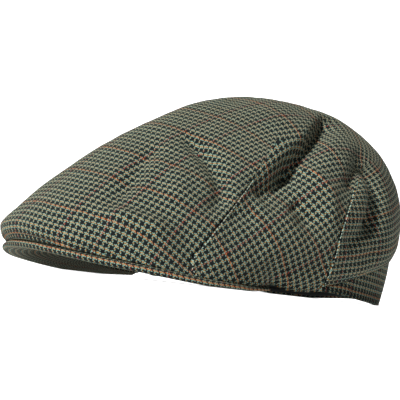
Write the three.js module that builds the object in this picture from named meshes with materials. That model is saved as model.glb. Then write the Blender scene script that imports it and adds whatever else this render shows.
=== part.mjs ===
// Flat cap: a one-piece tweed crown with two darts a side, a stiff covered peak,
// a crescent band at the back and an inner sweatband with a stretch section.
// Millimetres. Front is -Y, the wearer's left is +X, the floor is z = 0.
import * as THREE from "three";

// Overall sizes
const capHeight = 126.5;
const crownFront = 160;
const crownBack = 104;
const crownHalfWidth = 97;
const rimFront = 106;
const rimBack = 99;
const rimHalfWidth = 83.5;
const peakDepth = 51.5;

// Cloth and board
const clothThickness = 2;
const gap = 0.4;
const peakThickness = 4.2;
const peakEndThickness = 1.6;
const peakShow = 4;
const peakEndDeg = 70;
const peakFadeDeg = 72;
const peakCornerPower = 0.75;
const dartDepth = 0.9;
const dartHalfDeg = 1.2;

// Sweatband
const sweatThickness = 1.2;
const sweatHeight = 34;
const sweatLift = 1.5;
const sweatLean = 1.5;
const stretchStartDeg = 97;

// Back band
const bandStartDeg = 94.2;
const bandStartHeight = 1.5;

// The box of the cap is centred on the origin, so the rim centre sits behind it
const rimCentreY = (crownFront - crownBack) / 2;
const crownTopY = 5;

// Outline exponents of the plan curves, front and back
const rimPower = 2;
const crownPowerFront = 2.4;
const crownPowerBack = 2.05;

// One row per direction, degrees from the front centre, the other side mirrored.
// Heights are shares of capHeight: rim line, peak edge, band above the rim and widest line.
// lean is the band's lean out as a share of rimHalfWidth.
// rise and flat are the shares by which the section leaves the widest line and reaches the top.
const around = [
  { deg: 0, rim: 0.095, peak: 0.083, band: 0, lean: 0, wide: 0.194, rise: 0.08, flat: 0.46 },
  { deg: 25, rim: 0.071, peak: 0.036, band: 0, lean: 0, wide: 0.174, rise: 0.1, flat: 0.4 },
  { deg: 50, rim: 0.036, peak: -0.003, band: 0, lean: 0, wide: 0.162, rise: 0.26, flat: 0.47 },
  { deg: 75, rim: 0.028, peak: 0.014, band: 0, lean: 0, wide: 0.186, rise: 0.44, flat: 0.54 },
  { deg: 100, rim: 0.036, peak: 0.03, band: 0.035, lean: 0, wide: 0.233, rise: 0.5, flat: 0.58 },
  { deg: 125, rim: 0.012, peak: 0.03, band: 0.146, lean: 0.02, wide: 0.3, rise: 0.55, flat: 0.62 },
  { deg: 150, rim: -0.004, peak: 0.03, band: 0.235, lean: 0.045, wide: 0.387, rise: 0.6, flat: 0.62 },
  { deg: 180, rim: 0.02, peak: 0.03, band: 0.23, lean: 0.05, wide: 0.438, rise: 0.6, flat: 0.62 },
];

// Darts: direction at the lower edge, how far they lean back by their tip, the tip's height share
const darts = [
  { deg: 43, leanBack: 26, tip: 0.65, curve: 2.2 },
  { deg: 93, leanBack: 29, tip: 0.55, curve: 4.5 },
];

// Soft folds between two places on the crown, each place a direction and a height share.
// width and depth are shares of capHeight, a negative depth is a ridge.
// side is 1 for the wearer's left, -1 for the right.
const folds = [
  { side: 1, deg: 58, up: 0.5, toDeg: 106, toUp: 0.71, width: 0.055, depth: 0.032 },
  { side: 1, deg: 70, up: 0.37, toDeg: 88, toUp: 0.42, width: 0.065, depth: 0.016 },
  { side: 1, deg: 30, up: 0.68, toDeg: 49, toUp: 0.48, width: 0.06, depth: 0.015 },
  { side: 1, deg: 12, up: 0.44, toDeg: 27, toUp: 0.58, width: 0.11, depth: 0.02 },
  { side: 1, deg: 30, up: 0.38, toDeg: 42, toUp: 0.28, width: 0.07, depth: -0.014 },
  { side: 1, deg: 20, up: 0.68, toDeg: 27, toUp: 0.54, width: 0.07, depth: -0.012 },
  { side: -1, deg: 62, up: 0.5, toDeg: 98, toUp: 0.68, width: 0.06, depth: 0.02 },
  { side: -1, deg: 34, up: 0.66, toDeg: 50, toUp: 0.46, width: 0.065, depth: 0.014 },
  { side: -1, deg: 14, up: 0.42, toDeg: 30, toUp: 0.56, width: 0.11, depth: 0.018 },
];

const rad = THREE.MathUtils.degToRad;
const clamp = THREE.MathUtils.clamp;
const smooth = THREE.MathUtils.smoothstep;

// Smooth curve through one column of a table, mirrored at 0 and 180 degrees
function read(column, deg) {
  const d = Math.abs(THREE.MathUtils.euclideanModulo(deg + 180, 360) - 180);
  const last = around.length - 1;
  const at = (i) => {
    if (i < 0) return { x: -around[-i].deg, y: around[-i][column] };
    if (i > last) return { x: 360 - around[2 * last - i].deg, y: around[2 * last - i][column] };
    return { x: around[i].deg, y: around[i][column] };
  };
  let i = 0;
  while (i < last - 1 && around[i + 1].deg <= d) i += 1;
  const [a, b, c, e] = [at(i - 1), at(i), at(i + 1), at(i + 2)];
  const h = c.x - b.x;
  const t = (d - b.x) / h;
  const m1 = ((c.y - a.y) / (c.x - a.x)) * h;
  const m2 = ((e.y - b.y) / (e.x - b.x)) * h;
  return (2 * t ** 3 - 3 * t ** 2 + 1) * b.y + (t ** 3 - 2 * t ** 2 + t) * m1
    + (3 * t ** 2 - 2 * t ** 3) * c.y + (t ** 3 - t ** 2) * m2;
}

// Plan curve around the rim centre, egg shaped
function egg(deg, front, back, half, powerFront, powerBack) {
  const s = Math.sin(rad(deg));
  const c = Math.cos(rad(deg));
  const mix = 0.5 + 0.5 * Math.tanh(3 * c);
  const power = powerFront * mix + powerBack * (1 - mix);
  const length = c > 0 ? front : back;
  const r = (Math.abs(s / half) ** power + Math.abs(c / length) ** power) ** (-1 / power);
  return new THREE.Vector2(r * s, rimCentreY - r * c);
}
const rimPlan = (deg) => egg(deg, rimFront, rimBack, rimHalfWidth, rimPower, rimPower);
const widePlan = (deg) => egg(deg, crownFront, crownBack, crownHalfWidth, crownPowerFront, crownPowerBack);
const rimZ = (deg) => Math.max(0, capHeight * read("rim", deg));
const peakZ = (deg) => Math.max(0, capHeight * read("peak", deg));

// A place beside the rim line, moved out along the plan normal
function besideRim(deg, out, z) {
  const p = rimPlan(deg);
  const d = rimPlan(deg + 0.5).sub(rimPlan(deg - 0.5)).normalize();
  return new THREE.Vector3(p.x + d.y * out, p.y - d.x * out, z);
}

// Peak: depth and thickness by direction, the height of its underside at a distance out
function peakReach(deg) {
  const d = Math.abs(deg);
  return d < peakFadeDeg ? peakDepth * Math.cos((d / peakFadeDeg) * (Math.PI / 2)) ** peakCornerPower : 0;
}
function peakThick(deg) {
  return THREE.MathUtils.lerp(peakThickness, peakEndThickness, smooth(Math.abs(deg), 35, peakEndDeg));
}
function peakUnder(deg, out) {
  const reach = peakReach(deg);
  return reach > 0 ? THREE.MathUtils.lerp(rimZ(deg), peakZ(deg), clamp(out / reach, 0, 1)) : rimZ(deg);
}

// Lower edge of the crown: on the peak, then on the rim line, then on the back band
function bandHeight(deg) {
  const d = Math.abs(deg);
  if (d < bandStartDeg) return 0;
  return Math.max(bandStartHeight, capHeight * read("band", d));
}
function bandLean(deg) {
  return Math.max(0, rimHalfWidth * read("lean", deg));
}
function crownEdge(deg, shift = 0) {
  const d = Math.abs(deg);
  if (d > bandStartDeg - 0.01) return besideRim(deg, bandLean(d) + shift, rimZ(d) + bandHeight(d) + gap);
  const out = Math.max(0, peakReach(d) - peakShow) + shift;
  const onPeak = peakUnder(d, out) + peakThick(d) + gap;
  return besideRim(deg, out, THREE.MathUtils.lerp(onPeak, rimZ(d), smooth(d, peakEndDeg + 1, peakEndDeg + 11)));
}

// Crown section from its lower edge (up 0) over the widest line (up 0.25) to the top (up 1)
const wideUp = 0.25;
const tuck = 0.65;
const top = new THREE.Vector3(0, rimCentreY + crownTopY, capHeight);
function crownBase(deg, up) {
  const edge = crownEdge(deg);
  const plan = widePlan(deg);
  const wide = new THREE.Vector3(plan.x, plan.y, capHeight * read("wide", deg));
  if (up < wideUp) {
    const u = up / wideUp;
    const a = u * (Math.PI / 2);
    const out = Math.sin(a);
    const rise = (1 - Math.cos(a)) * tuck + u * (1 - tuck);
    return new THREE.Vector3(
      edge.x + (wide.x - edge.x) * out, edge.y + (wide.y - edge.y) * out, edge.z + (wide.z - edge.z) * rise);
  }
  const v = (up - wideUp) / (1 - wideUp);
  const rise = new THREE.Vector3(wide.x, wide.y, wide.z + read("rise", deg) * (capHeight - wide.z));
  const flat = new THREE.Vector3(
    top.x + (wide.x - top.x) * read("flat", deg), top.y + (wide.y - top.y) * read("flat", deg), capHeight);
  const out = new THREE.Vector3();
  out.addScaledVector(wide, (1 - v) ** 3);
  out.addScaledVector(rise, 3 * (1 - v) ** 2 * v);
  out.addScaledVector(flat, 3 * (1 - v) * v ** 2);
  return out.addScaledVector(top, v ** 3);
}

// Outward direction of the crown, from neighbouring places on it
function crownOut(deg, up) {
  if (up > 0.985) return new THREE.Vector3(0, 0, 1);
  const low = Math.max(0, up - 0.01);
  const across = crownBase(deg + 1, up).sub(crownBase(deg - 1, up));
  const along = crownBase(deg, low + 0.02).sub(crownBase(deg, low));
  return across.cross(along).normalize();
}

// Height of the soft folds at a place
const foldLines = folds.map((f) => ({
  line: new THREE.Line3(crownBase(f.side * f.deg, f.up), crownBase(f.side * f.toDeg, f.toUp)),
  width: f.width * capHeight,
  depth: f.depth * capHeight,
}));
function foldAt(p) {
  let sum = 0;
  for (const f of foldLines) {
    const near = f.line.closestPointToPoint(p, true, new THREE.Vector3());
    sum -= f.depth * Math.exp(-((near.distanceTo(p) / f.width) ** 2));
  }
  return sum;
}

// Directions of the crown's columns at the lower edge, close together at the darts
function columnDegs() {
  const stops = [0];
  const cuts = [...darts.map((d) => d.deg), 180];
  let from = 0;
  for (const cut of cuts) {
    const to = cut === 180 ? 180 : cut - dartHalfDeg;
    const steps = Math.round((to - from) / 3.9);
    for (let i = 1; i <= steps; i += 1) stops.push(from + ((to - from) * i) / steps);
    if (cut !== 180) stops.push(cut, cut + dartHalfDeg);
    from = cut + dartHalfDeg;
  }
  return [...stops, ...stops.slice(1, -1).reverse().map((d) => -d)];
}
function dartDeg(dart, up) {
  return dart.deg + dart.leanBack * Math.min(1, up / dart.tip) ** dart.curve;
}

// The columns lean back with the darts
function leaned(deg, up) {
  const d = Math.abs(deg);
  const from = [0, ...darts.map((dart) => dart.deg), 180];
  const to = [0, ...darts.map((dart) => dartDeg(dart, up)), 180];
  let i = 0;
  while (i < from.length - 2 && d > from[i + 1]) i += 1;
  const share = (d - from[i]) / (from[i + 1] - from[i]);
  return Math.sign(deg) * (to[i] + (to[i + 1] - to[i]) * share);
}
function dartGroove(deg, up) {
  const dart = darts.find((row) => Math.abs(Math.abs(deg) - row.deg) < 1e-6);
  return dart ? dartDepth * smooth(up, 0, 0.1) * (1 - smooth(up, dart.tip * 0.6, dart.tip)) : 0;
}

// Closed mesh from points and triangles, turned so that it faces out
function solid(name, points, faces, colour) {
  const volume = faces.reduce((sum, [a, b, c]) =>
    sum + points[a].dot(new THREE.Vector3().crossVectors(points[b], points[c])), 0);
  const geometry = new THREE.BufferGeometry();
  geometry.setAttribute("position", new THREE.Float32BufferAttribute(points.flatMap((p) => p.toArray()), 3));
  geometry.setIndex(faces.flatMap(([a, b, c]) => (volume > 0 ? [a, b, c] : [a, c, b])));
  geometry.computeVertexNormals();
  const material = new THREE.MeshStandardMaterial({ color: colour, roughness: 0.9, name: `${name} cloth` });
  const mesh = new THREE.Mesh(geometry, material);
  mesh.name = name;
  return mesh;
}

// Bar from equal closed sections, with flat ends
function bar(name, sections, colour) {
  const n = sections[0].length;
  const faces = [];
  for (let i = 0; i + 1 < sections.length; i += 1) {
    for (let j = 0; j < n; j += 1) {
      const a = i * n + j;
      const b = i * n + ((j + 1) % n);
      faces.push([a, b, b + n], [a, b + n, a + n]);
    }
  }
  const lastStart = (sections.length - 1) * n;
  for (let j = 0; j < n / 2 - 1; j += 1) {
    for (const [a, b, c] of [[j, n - 1 - j, j + 1], [j + 1, n - 1 - j, n - 2 - j]]) {
      if (a === c || b === c) continue;
      faces.push([a, b, c], [lastStart + a, lastStart + c, lastStart + b]);
    }
  }
  return solid(name, sections.flat(), faces, colour);
}
const range = (from, to, steps) => Array.from({ length: steps + 1 }, (_, i) => from + ((to - from) * i) / steps);

// Crown: outer skin, inner skin and the edge between them
function makeCrown() {
  const columns = columnDegs();
  const n = columns.length;
  const outerUps = [0, 0.05, 0.11, 0.18, 0.25, 0.3, 0.35, 0.4, 0.45, 0.5, 0.56, 0.62, 0.69, 0.77, 0.86, 0.94];
  const innerUps = [0, 0.08, 0.17, 0.26, 0.34, 0.42, 0.5, 0.59, 0.7, 0.82, 0.93];
  const points = [];
  const faces = [];
  const skin = (ups, inset) => {
    const first = points.length;
    for (const up of ups) {
      for (const column of columns) {
        const deg = leaned(column, up);
        if (inset > 0 && up === 0) {
          points.push(crownEdge(deg, -inset));
          continue;
        }
        const p = crownBase(deg, up);
        const groove = inset > 0 ? 0 : dartGroove(column, up);
        points.push(p.addScaledVector(crownOut(deg, up), foldAt(p) - groove - inset));
      }
    }
    const p = top.clone();
    points.push(p.setZ(capHeight + foldAt(top) - inset));
    const apex = points.length - 1;
    const ring = (row, j) => first + row * n + (j % n);
    for (let row = 0; row < ups.length; row += 1) {
      for (let j = 0; j < n; j += 1) {
        const [a, b] = [ring(row, j), ring(row, j + 1)];
        const [c, d] = row + 1 < ups.length ? [ring(row + 1, j), ring(row + 1, j + 1)] : [apex, apex];
        const made = c === d ? [[a, b, c]] : [[a, b, d], [a, d, c]];
        for (const [u, v, w] of made) faces.push(inset > 0 ? [u, w, v] : [u, v, w]);
      }
    }
    return first;
  };
  const outer = skin(outerUps, 0);
  const inner = skin(innerUps, clothThickness);
  for (let j = 0; j < n; j += 1) {
    const k = (j + 1) % n;
    faces.push([outer + j, inner + j, inner + k], [outer + j, inner + k, outer + k]);
  }
  return solid("crown", points, faces, 0x5d6350);
}

// Peak: a covered board from just outside the sweatband to its rounded outer edge
function makePeak() {
  const inside = -clothThickness;
  const sections = range(-peakEndDeg, peakEndDeg, 44).map((deg) => {
    const reach = Math.max(peakReach(deg), 3);
    const thick = peakThick(deg);
    const round = Math.min(thick * 0.6, reach * 0.5);
    const flatTo = reach - round;
    const outs = [inside, flatTo * 0.33, flatTo * 0.66, flatTo];
    const under = outs.map((out) => besideRim(deg, out, peakUnder(deg, out)));
    const over = outs.map((out) => besideRim(deg, out, peakUnder(deg, out) + thick)).reverse();
    const edge = [-0.6, -0.2, 0.2, 0.6].map((s) => {
      const out = flatTo + round * Math.sqrt(1 - (s / 1.05) ** 2);
      return besideRim(deg, out, peakUnder(deg, flatTo) + (thick / 2) * (1 + s));
    });
    return [...under, ...edge, ...over];
  });
  return bar("peak", sections, 0x62664f);
}

// Back band: a crescent from the rim line up to the crown's lower edge
function makeBackBand() {
  const sections = range(bandStartDeg, 360 - bandStartDeg, 46).map((deg) => {
    const d = 180 - Math.abs(180 - deg);
    const height = bandHeight(d);
    const shares = [0, 0.33, 0.67, 1];
    const wall = (inset) => shares.map((s) => {
      const out = bandLean(d) * (0.4 * s + 0.6 * Math.sin(s * (Math.PI / 2)));
      return besideRim(deg, out - inset, rimZ(d) + height * s);
    });
    return [...wall(0), ...wall(clothThickness).reverse()];
  });
  return bar("back_band", sections, 0x586050);
}

// Sweatband pieces stand just inside the rim line
function sweatSections(from, to, steps) {
  return range(from, to, steps).map((deg) => {
    const z = rimZ(deg) + sweatLift;
    const outer = -(clothThickness + gap);
    const wall = (out) => [0, 0.5, 1].map((s) => besideRim(deg, out + sweatLean * s, z + sweatHeight * s));
    return [...wall(outer), ...wall(outer - sweatThickness).reverse()];
  });
}

const gapDeg = THREE.MathUtils.radToDeg(gap / rimHalfWidth);
const cap = new THREE.Group();
cap.name = "flat_cap";
cap.add(makeCrown(), makePeak(), makeBackBand());
cap.add(bar("sweatband", sweatSections(-stretchStartDeg, stretchStartDeg, 60), 0x2c332f));
cap.add(bar("stretch_band", sweatSections(stretchStartDeg + gapDeg, 360 - stretchStartDeg - gapDeg, 46), 0x1f2423));
export default cap;
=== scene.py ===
import bpy
import numpy as np
from mathutils import Matrix, Vector, noise


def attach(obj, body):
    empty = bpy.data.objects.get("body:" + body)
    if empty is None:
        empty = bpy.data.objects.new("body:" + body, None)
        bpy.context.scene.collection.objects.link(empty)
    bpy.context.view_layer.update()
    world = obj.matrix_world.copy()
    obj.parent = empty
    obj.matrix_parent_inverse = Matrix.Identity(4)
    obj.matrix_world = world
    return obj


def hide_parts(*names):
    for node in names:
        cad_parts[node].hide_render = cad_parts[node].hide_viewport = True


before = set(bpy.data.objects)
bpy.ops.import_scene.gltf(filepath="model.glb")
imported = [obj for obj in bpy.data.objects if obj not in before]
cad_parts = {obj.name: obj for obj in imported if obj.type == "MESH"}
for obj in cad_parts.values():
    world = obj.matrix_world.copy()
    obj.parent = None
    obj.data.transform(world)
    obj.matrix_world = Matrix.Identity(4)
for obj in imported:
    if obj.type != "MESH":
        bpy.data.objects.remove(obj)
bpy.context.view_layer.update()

# CROWN
# One piece of wool houndstooth, cut along the length of the cap and drawn into a round form
# by two sewn darts a side. Its lower edge is turned in: it lies on the peak in front and
# meets the back band behind.

# Sizes are in millimetres and the front is -Y. A direction is in degrees from the front centre
cap_height = 126.5
rim_front, rim_back, rim_half_width = 106.0, 99.0, 83.5
crown_front, crown_back, crown_half_width = 160.0, 104.0, 97.0
crown_power_front, crown_power_back = 2.4, 2.05  # 2 is an oval, a higher one is squarer
rim_centre_y = (crown_front - crown_back) / 2
cloth_thickness, seam_gap = 2.0, 0.4
peak_depth, peak_show, peak_fade_deg, peak_corner_power = 51.5, 4.0, 72.0, 0.75
peak_thickness, peak_end_thickness, peak_thin_deg, peak_end_deg = 4.2, 1.6, 35.0, 70.0
off_peak_deg = (1.0, 11.0)  # past the peak's end, where the crown's edge comes down to the rim
band_start_deg, band_start_height = 94.2, 1.5
wide_up, tuck = 0.25, 0.65  # height share of the widest line, roundness of the cloth below it
top_behind_centre = 5.0
crown_top = np.array((0.0, rim_centre_y + top_behind_centre, cap_height))

# Shape by direction, the same on both sides. Heights are shares of cap_height, the lean of
# the back band is a share of rim_half_width, rise and flat bend the side over to the top
around = dict(zip(("deg", "rim", "peak", "band", "lean", "wide", "rise", "flat"), np.array((
    (0, 0.095, 0.083, 0, 0, 0.194, 0.08, 0.46),
    (25, 0.071, 0.036, 0, 0, 0.174, 0.10, 0.40),
    (50, 0.036, -0.003, 0, 0, 0.162, 0.26, 0.47),
    (75, 0.028, 0.014, 0, 0, 0.186, 0.44, 0.54),
    (100, 0.036, 0.03, 0.035, 0, 0.233, 0.50, 0.58),
    (125, 0.012, 0.03, 0.146, 0.02, 0.30, 0.55, 0.62),
    (150, -0.004, 0.03, 0.235, 0.045, 0.387, 0.60, 0.62),
    (180, 0.02, 0.03, 0.23, 0.05, 0.438, 0.60, 0.62))).T))

# Darts: direction at the edge, lean back at the tip, height share of the tip, curve
darts = ((43, 26, 0.65, 2.2), (93, 29, 0.55, 4.5))

# Folds: places along each as direction and height share, then its width and depth as shares of
# cap_height (a negative one stands out), and how much steeper its upper front side is
folds = (
    (((118, 0.76), (88.5, 0.635), (76.5, 0.575), (69.5, 0.53)), 0.050, 0.078, 0.4),
    (((81, 0.56), (71, 0.50), (61, 0.462)), 0.088, 0.080, 0.3),
    (((28, 0.675), (39, 0.61), (46.5, 0.535), (49.5, 0.47), (47.5, 0.425)), 0.040, 0.046, 0),
    (((20, 0.645), (22, 0.55), (22.5, 0.46)), 0.052, 0.034, 0),
    (((53, 0.405), (62, 0.38)), 0.050, 0.022, 0),
    (((76.5, 0.43), (80, 0.395), (82.5, 0.345)), 0.058, 0.056, 0),
    (((102, 0.46), (118, 0.575)), 0.046, 0.042, 0),
    (((120, 0.56), (119, 0.43), (113, 0.33)), 0.058, 0.060, 0),
    (((99, 0.275), (116, 0.345)), 0.055, 0.042, 0),
    (((97, 0.17), (118, 0.225)), 0.055, 0.026, 0),
    (((66, 0.17), (92, 0.19)), 0.070, 0.028, 0),
    (((41, 0.28), (45.5, 0.17)), 0.060, 0.018, 0),
    (((52, 0.33), (66, 0.27)), 0.060, 0.018, 0),
    (((8, 0.34), (20, 0.27), (34, 0.22)), 0.060, 0.018, 0),
    (((24, 0.385), (37.5, 0.335)), 0.050, -0.034, 0),
    (((20.5, 0.66), (24.5, 0.555)), 0.055, -0.016, 0),
    (((34, 0.56), (38, 0.44)), 0.060, -0.018, 0),
    (((84, 0.52), (91, 0.45), (91, 0.35)), 0.050, -0.028, 0),
    (((-62, 0.50), (-80, 0.60), (-98, 0.68)), 0.045, 0.040, 0),
    (((-34, 0.66), (-44, 0.56), (-50, 0.46)), 0.050, 0.028, 0),
    (((-14, 0.42), (-26, 0.52)), 0.080, 0.018, 0),
    (((-76, 0.43), (-83, 0.35)), 0.060, 0.026, 0),
    (((-99, 0.28), (-117, 0.36)), 0.060, 0.030, 0),
    (((150, 0.36), (168, 0.44)), 0.060, 0.016, 0))
fold_end_loss, fold_end_power = 0.6, 6  # share of its depth lost at the ends, and how late
fold_skew_turn = 3.0  # how sharply a fold goes over from its steep side to its flat side


def front_angle(deg):
    return np.abs((np.asarray(deg, float) + 180) % 360 - 180)


def smooth(x, low, high):
    t = np.clip((x - low) / (high - low), 0, 1)
    return t * t * (3 - 2 * t)


def read(column, deg):
    """Smooth curve through one column of the shape table."""
    x, y = around["deg"], around[column]
    x = np.concatenate((-x[2:0:-1], x, 360 - x[-2:-4:-1]))
    y = np.concatenate((y[2:0:-1], y, y[-2:-4:-1]))
    d = front_angle(deg)
    i = np.clip(np.searchsorted(x, d, "right") - 1, 1, len(x) - 3)
    step = x[i + 1] - x[i]
    t = (d - x[i]) / step
    into = (y[i + 1] - y[i - 1]) / (x[i + 1] - x[i - 1]) * step
    out_of = (y[i + 2] - y[i]) / (x[i + 2] - x[i]) * step
    return ((2 * t**3 - 3 * t**2 + 1) * y[i] + (t**3 - 2 * t**2 + t) * into
            + (3 * t**2 - 2 * t**3) * y[i + 1] + (t**3 - t**2) * out_of)


def egg(deg, front, back, half, power_front, power_back):
    """Plan curve around the rim centre, with its own fullness in front and behind."""
    turn_to_back = 3
    s, c = np.sin(np.radians(deg)), np.cos(np.radians(deg))
    front_share = 0.5 + 0.5 * np.tanh(turn_to_back * c)
    power = power_front * front_share + power_back * (1 - front_share)
    length = np.where(c > 0, front, back)
    r = (np.abs(s / half) ** power + np.abs(c / length) ** power) ** (-1 / power)
    return np.stack((r * s, rim_centre_y - r * c), -1)


def rim_z(deg):
    return np.maximum(0, cap_height * read("rim", deg))


def beside_rim(deg, out, z):
    """A place out from the rim line along its plan normal, read over one degree."""
    p, a, b = (egg(np.asarray(deg, float) + turn, rim_front, rim_back, rim_half_width, 2, 2)
               for turn in (0, -0.5, 0.5))
    d = (b - a) / np.linalg.norm(b - a, axis=-1, keepdims=True)
    return np.stack((p[..., 0] + d[..., 1] * out, p[..., 1] - d[..., 0] * out, z + 0 * out), -1)


def peak_reach(deg):
    share = np.cos(np.clip(front_angle(deg) / peak_fade_deg, 0, 1) * np.pi / 2)
    return peak_depth * np.maximum(share, 0) ** peak_corner_power


def peak_thick(deg):
    share = smooth(front_angle(deg), peak_thin_deg, peak_end_deg)
    return peak_thickness + (peak_end_thickness - peak_thickness) * share


def peak_under(deg, out):
    """Height of the peak's underside at a distance out from the rim."""
    no_peak = 0.01
    reach = np.maximum(peak_reach(deg), no_peak)
    share = np.where(peak_reach(deg) > no_peak, np.clip(out / reach, 0, 1), 0)
    edge = np.maximum(0, cap_height * read("peak", deg))
    return rim_z(deg) + (edge - rim_z(deg)) * share


def band_height(deg):
    return np.maximum(band_start_height, cap_height * read("band", deg))


def band_lean(deg):
    return np.maximum(0, rim_half_width * read("lean", deg))


def crown_edge(deg, shift=0.0):
    """Lower edge of the crown: on the peak, then on the rim, then on the back band."""
    d, same_deg = front_angle(deg), 0.01
    behind = d > band_start_deg - same_deg
    out = np.where(behind, band_lean(deg), np.maximum(0, peak_reach(deg) - peak_show)) + shift
    on_peak = peak_under(deg, out) + peak_thick(deg) + seam_gap
    off_peak = smooth(d, *(peak_end_deg + past for past in off_peak_deg))
    in_front = on_peak + (rim_z(deg) - on_peak) * off_peak
    on_band = rim_z(deg) + band_height(deg) + seam_gap
    return beside_rim(deg, out, np.where(behind, on_band, in_front))


def crown_form(deg, up):
    """Crown from its lower edge (up 0) over the widest line (wide_up) to the top (up 1)."""
    up = np.asarray(up, float)[..., None]
    edge = crown_edge(deg)
    plan = egg(deg, crown_front, crown_back, crown_half_width,
               crown_power_front, crown_power_back)
    wide = np.concatenate((plan, (cap_height * read("wide", deg))[..., None]), -1)
    u = np.clip(up / wide_up, 0, 1)
    a = u * np.pi / 2
    rise = (1 - np.cos(a)) * tuck + u * (1 - tuck)
    low = edge + (wide - edge) * np.concatenate((np.sin(a), np.sin(a), rise), -1)
    v = np.clip((up - wide_up) / (1 - wide_up), 0, 1)
    steep = wide.copy()
    steep[..., 2] += read("rise", deg) * (cap_height - wide[..., 2])
    level = crown_top + (wide - crown_top) * read("flat", deg)[..., None]
    level[..., 2] = cap_height
    high = ((1 - v)**3 * wide + 3 * (1 - v)**2 * v * steep
            + 3 * (1 - v) * v**2 * level + v**3 * crown_top)
    return np.where(up < wide_up, low, high)


def crown_out(deg, up):
    """Outward direction of the crown, turned straight up on the very top."""
    step_deg, step_up, last_up, top_from, top_to = 1.0, 0.01, 0.965, 0.93, 0.98
    low = np.clip(up - step_up, 0, last_up)
    across = (crown_form(deg + step_deg, low + step_up)
              - crown_form(deg - step_deg, low + step_up))
    along = crown_form(deg, low + 2 * step_up) - crown_form(deg, low)
    out = np.cross(across, along)
    out /= np.linalg.norm(out, axis=-1, keepdims=True)
    top_share = smooth(up, top_from, top_to)[..., None]
    out = out * (1 - top_share) + np.array((0, 0, 1.0)) * top_share
    return out / np.linalg.norm(out, axis=-1, keepdims=True)


def run_of(points):
    """Length along a row of places."""
    return np.concatenate(([0], np.cumsum(np.linalg.norm(np.diff(points, axis=0), axis=-1))))


def fold_height(points):
    """Height of the folds: soft furrows along lines through places on the crown."""
    total = np.zeros(points.shape[:-1])
    heart = np.array((0, rim_centre_y, 0.3 * cap_height))  # tells the two sides of a fold apart
    for places, width, depth, skew in folds:
        stops = crown_form(*np.array(places, float).T)
        lines, runs = np.diff(stops, axis=0), run_of(stops)
        nearest, along = np.full(total.shape, np.inf), np.zeros(total.shape)
        for start, line, first, last in zip(stops[:-1], lines, runs[:-1], runs[1:]):
            share = np.clip(((points - start) @ line) / (line @ line), 0, 1)
            off = points - (start + share[..., None] * line)
            across = np.cross(line, start + line / 2 - heart)
            side = (off @ across) / np.linalg.norm(across) / (width * cap_height)
            near = (np.linalg.norm(off, axis=-1) / (width * cap_height)
                    / (1 - skew * np.tanh(fold_skew_turn * side)))
            along = np.where(near < nearest, (first + share * (last - first)) / runs[-1], along)
            nearest = np.minimum(nearest, near)
        ends = 1 - fold_end_loss * (2 * along - 1) ** fold_end_power
        total -= depth * cap_height * np.exp(-nearest ** 2) * ends
    return total


def leaned(columns, ups):
    """Direction of each column at each height: the columns lean back with the darts."""
    start = [deg for deg, *_ in darts]
    fixed = [0, *start, 180, *(360 - deg for deg in start[::-1]), 360]
    rows = []
    for up in ups:
        tip = [deg + lean * min(1, up / top) ** curve for deg, lean, top, curve in darts]
        moved = [0, *tip, 180, *(360 - deg for deg in tip[::-1]), 360]
        rows.append(np.interp(columns, fixed, moved))
    return np.array(rows)


def rippled(points, size, seed):
    """Even random swell of about -1 to 1, with humps of the given size."""
    shift = Vector((seed * 7.3, seed * 3.1, seed * 5.7))  # each seed has its own part of the noise
    flat = points.reshape(-1, 3) / size
    return np.array([noise.noise(Vector(p) + shift) for p in flat]).reshape(points.shape[:-1])


def hump(at, height, middle, width):
    """A rounded rise across a seam, or a dip where its height is negative."""
    return height * np.exp(-((at - middle) / width) ** 2)


# Relief of the seams: height, middle and width of each rise or dip, measured backwards from a
# dart's seam or up from the lower edge
dart_furrow, dart_overlap, dart_hollow = (-1.25, 0.0, 0.62), (0.55, 1.7, 1.5), (-0.3, -3.0, 3.0)
hem_roll, hem_line = (0.45, 2.2, 1.6), (-0.6, 5.2, 0.9)
pucker_height, pucker_pitch, pucker_sway, pucker_drift = 0.14, 8.3, 0.8, 31.0
pucker_reach, pucker_clear = 7.0, 1.2
dart_fade_from, dart_full_at = 0.6, 0.02  # share of the dart's length, height share above the edge


def seam_relief(columns, ups, form):
    """Darts: a narrow furrow with its back side turned over the front one, and small puckers.
    All along the lower edge, the low line where the turned-in hem ends."""
    height = np.zeros(form.shape[:2])
    beside = 4  # columns to each side that the spacing at a dart is measured over
    for side in (1, -1):
        for deg, _, tip, _ in darts:
            place = deg if side > 0 else 360 - deg
            j = int(np.argmin(np.abs(columns - place)))
            mm_per_deg = (np.linalg.norm(form[:, j + beside] - form[:, j - beside], axis=-1)
                          / (columns[j + beside] - columns[j - beside]))[:, None]
            across = side * (columns - place)[None, :] * mm_per_deg
            run = run_of(form[:, j])
            fade = (1 - smooth(ups, tip * dart_fade_from, tip)) * smooth(ups, 0, dart_full_at)
            seam = sum(hump(across, *part) for part in (dart_furrow, dart_overlap, dart_hollow))
            sway = pucker_sway * np.sin(run / pucker_drift)
            wave = np.sin(run / pucker_pitch * 2 * np.pi + sway)
            pucker = (hump(across, pucker_height, 0, pucker_reach)
                      * (1 - hump(across, 1, 0, pucker_clear)))
            height += fade[:, None] * (seam + wave[:, None] * pucker)
    steps = np.linalg.norm(np.diff(form, axis=0), axis=-1)
    from_edge = np.concatenate((np.zeros((1, form.shape[1])), np.cumsum(steps, 0)))
    return height + hump(from_edge, *hem_roll) + hump(from_edge, *hem_line)


mm = 0.001  # a millimetre in metres


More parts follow.
